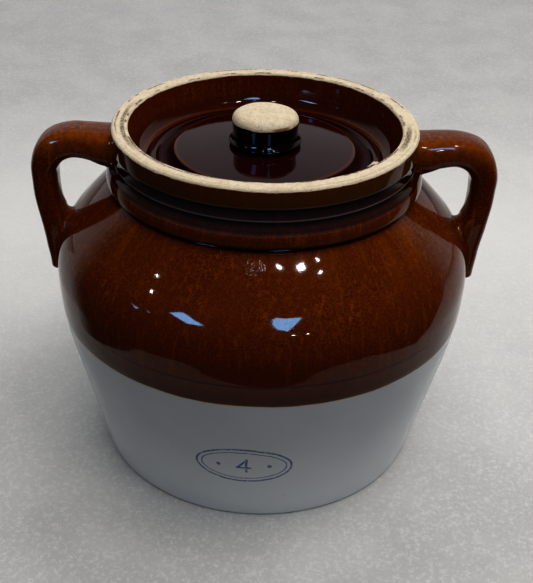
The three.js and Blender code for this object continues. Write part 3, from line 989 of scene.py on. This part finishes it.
# The floor shows in the glaze only behind this line, as a table with a near edge would.
TABLE_EDGE = [
    (-FLOOR_REACH, 2600),
    (-520, 370),
    (-290, 95),
    (-200, 3),
    (-196, -150),
    (-150, -208),
    (-60, -216),
    (40, -210),
    (150, -222),
    (208, -190),
    (216, -58),
    (280, -20),
    (400, 25),
    (840, 225),
    (FLOOR_REACH, 1700),
]


def make_floor():
    """One flat floor in two pieces: what shows in the glaze, and what only the camera sees."""
    reach = FLOOR_REACH
    outlines = {
        "floor": [(reach, reach), (-reach, reach)] + TABLE_EDGE,
        "floor_front": [(-reach, -reach), (reach, -reach)] + TABLE_EDGE[::-1],
    }
    material = floor_material()
    for name, outline in outlines.items():
        floor = make_object(name, [(x, y, 0) for x, y in outline], [tuple(range(len(outline)))])
        floor.data.materials.append(material)
    floor_front = floor
    floor_front.visible_glossy = False
    floor_front.visible_diffuse = False


ROOM_GLOW = 0.03
WALL_GLOW = 0.44  # of the pale wall, on top of the room's
ROOM_COLOUR = rgb(0.95, 0.97, 1.0)


def make_world():
    """A dim room with a pale wall behind the crock, seen only in its reflections."""
    world = bpy.data.worlds.new("room")
    bpy.context.scene.world = world
    world.use_nodes = True
    tree = world.node_tree
    tree.nodes.clear()
    split = tree.nodes.new("ShaderNodeSeparateXYZ")
    direction = tree.nodes.new("ShaderNodeTexCoord").outputs["Generated"]
    tree.links.new(direction, split.inputs[0])

    def ramp(value, low, high, to_low, to_high):
        made = tree.nodes.new("ShaderNodeMapRange")
        made.interpolation_type = "SMOOTHSTEP"
        tree.links.new(value, made.inputs["Value"])
        for key, number in zip(("From Min", "From Max", "To Min", "To Max"), (low, high, to_low, to_high)):
            made.inputs[key].default_value = number
        return made.outputs[0]

    wall = tree.nodes.new("ShaderNodeMath")
    wall.operation = "MULTIPLY"
    tree.links.new(ramp(split.outputs["Y"], 0.25, 0.55, 0.0, 1.0), wall.inputs[0])
    tree.links.new(ramp(split.outputs["Z"], 0.84, 0.93, 1.0, 0.0), wall.inputs[1])
    strength = tree.nodes.new("ShaderNodeMath")
    strength.operation = "MULTIPLY_ADD"
    tree.links.new(wall.outputs[0], strength.inputs[0])
    strength.inputs[1].default_value = WALL_GLOW
    strength.inputs[2].default_value = ROOM_GLOW
    background = tree.nodes.new("ShaderNodeBackground")
    background.inputs["Color"].default_value = ROOM_COLOUR
    tree.links.new(strength.outputs[0], background.inputs["Strength"])
    output = tree.nodes.new("ShaderNodeOutputWorld")
    tree.links.new(background.outputs[0], output.inputs["Surface"])


SUBJECT = Vector((0, 0, 0.12))  # the place that lamps and windows face, in metres


def area_light(name, direction, distance, size, power, colour, shows):
    """A rectangular lamp facing the crock, seen only as light or only as a gloss in the glaze."""
    data = bpy.data.lights.new(name, "AREA")
    data.shape = "RECTANGLE"
    data.size, data.size_y = size
    data.energy = power
    data.color = colour
    lamp = bpy.data.objects.new(name, data)
    away = Vector(direction).normalized()
    turn = away.to_track_quat("Z", "Y").to_matrix().to_4x4()
    lamp.matrix_world = Matrix.Translation(SUBJECT + away * distance) @ turn
    lamp.visible_glossy = shows == "gloss"
    lamp.visible_diffuse = shows == "light"
    bpy.context.scene.collection.objects.link(lamp)


# Soft lamps that light the crock without showing in its glaze: direction, distance, size, power, colour.
SOFT_LAMPS = {
    "key": ((0.55, 0.10, 0.83), 1.7, (0.9, 0.9), 6.0, (1.0, 0.97, 0.93)),
    "top": ((0.10, -0.32, 0.94), 1.9, (1.6, 1.6), 18.0, (1.0, 0.98, 0.96)),
    "back": ((-0.05, 0.80, 0.60), 2.2, (2.0, 1.2), 7.0, (1.0, 0.98, 0.95)),
}
WINDOW_BLUE = rgb(0.25, 0.58, 1.0)
WINDOW_STRENGTH = 19.0
WINDOW_DISTANCE = 1.5
# Patches of sky seen past curtains: direction, and corners in metres across and up.
WINDOWS = {
    "window_left": (
        (-0.60, -0.66, 0.45),
        [(-0.18, -0.01), (-0.03, 0.16), (0.33, -0.12), (0.14, -0.20)],
    ),
    "window_front": (
        (0.20, -0.80, 0.57),
        [
            (-0.18, -0.02),
            (-0.15, 0.16),
            (-0.10, 0.20),
            (-0.02, 0.16),
            (0.20, 0.155),
            (0.07, -0.15),
            (-0.02, -0.32),
            (-0.14, -0.24),
        ],
    ),
    "window_side": ((-0.90, -0.35, 0.25), [(-0.06, 0.03), (0.07, 0.0), (0.05, -0.03)]),
    "window_sliver": ((-0.84, -0.47, 0.285), [(-0.05, 0.02), (0.05, -0.01), (0.03, -0.025)]),
}
CEILING_DISTANCE = 2.2
LAMP_WHITE = (1.0, 0.98, 0.95)
# Small bright lamps, seen as spots in the glaze: direction, size, power.
CEILING_LAMPS = [
    ((0.130, -0.445, 0.886), 0.060, 1.6),
    ((0.302, -0.405, 0.863), 0.110, 5.0),
    ((0.422, -0.311, 0.851), 0.032, 0.6),
    ((0.452, -0.405, 0.795), 0.045, 0.9),
    ((-0.085, -0.440, 0.893), 0.080, 2.6),
    ((-0.748, -0.243, 0.618), 0.034, 0.5),
    ((0.268, -0.915, 0.301), 0.030, 0.4),
    ((0.400, -0.871, 0.285), 0.025, 0.3),
]


def sky_material():
    """The even blue glow of the sky in the windows."""
    material = bpy.data.materials.new("window_sky")
    material.use_nodes = True
    tree = material.node_tree
    tree.nodes.clear()
    glow = tree.nodes.new("ShaderNodeEmission")
    glow.inputs["Color"].default_value = WINDOW_BLUE
    glow.inputs["Strength"].default_value = WINDOW_STRENGTH
    output = tree.nodes.new("ShaderNodeOutputMaterial")
    tree.links.new(glow.outputs[0], output.inputs["Surface"])
    return material


def window(name, direction, corners, material):
    """A flat glowing shape in a direction from the crock, seen only in its glaze."""
    away = Vector(direction).normalized()
    right = Vector((-away.y, away.x, 0)).normalized()
    up = away.cross(right)
    if up.z < 0:
        up = -up
    centre = (SUBJECT + away * WINDOW_DISTANCE) / MM
    points = [centre + (right * u + up * v) / MM for u, v in corners]
    made = make_object(name, [tuple(point) for point in points], [tuple(range(len(points)))])
    made.data.materials.append(material)
    made.visible_camera = False
    made.visible_diffuse = False
    made.visible_shadow = False


def make_lights():
    """Soft lamps for light, and windows and small lamps for the glaze's reflections."""
    for name, (direction, distance, size, power, colour) in SOFT_LAMPS.items():
        area_light(name, direction, distance, size, power, colour, shows="light")
    sky = sky_material()
    for name, (direction, corners) in WINDOWS.items():
        window(name, direction, corners, sky)
    for i, (direction, size, power) in enumerate(CEILING_LAMPS):
        name = f"ceiling_lamp_{i}"
        area_light(name, direction, CEILING_DISTANCE, (size, size), power, LAMP_WHITE, shows="gloss")


# ---- camera ----
CAMERA_PLACE = Vector((0.0, -0.4926, 0.3906))
CAMERA_YAW = math.radians(0.265)
CAMERA_PITCH = math.radians(30.31)
CAMERA_ROLL = math.radians(1.516)
CAMERA_LENS = 65.83
CAMERA_SHIFT_Y = -0.0583


def make_camera():
    """A camera above and in front of the crock, looking down at it."""
    data = bpy.data.cameras.new("camera")
    data.lens = CAMERA_LENS
    data.shift_y = CAMERA_SHIFT_Y
    data.clip_start = 0.01
    camera = bpy.data.objects.new("camera", data)
    yaw, pitch, roll = CAMERA_YAW, CAMERA_PITCH, CAMERA_ROLL
    ahead = Vector((math.sin(yaw) * math.cos(pitch), math.cos(yaw) * math.cos(pitch), -math.sin(pitch)))
    right = Vector((math.cos(yaw), -math.sin(yaw), 0))
    up = right.cross(ahead)
    tilted_right = right * math.cos(roll) + up * math.sin(roll)
    tilted_up = up * math.cos(roll) - right * math.sin(roll)
    turn = Matrix((tilted_right, tilted_up, -ahead)).transposed().to_4x4()
    camera.matrix_world = Matrix.Translation(CAMERA_PLACE) @ turn
    bpy.context.scene.collection.objects.link(camera)
    bpy.context.scene.camera = camera


make_camera()
make_pieces()
make_floor()
make_world()
make_lights()
bpy.context.scene.view_settings.view_transform = "Standard"
bpy.context.scene.view_settings.look = "High Contrast"
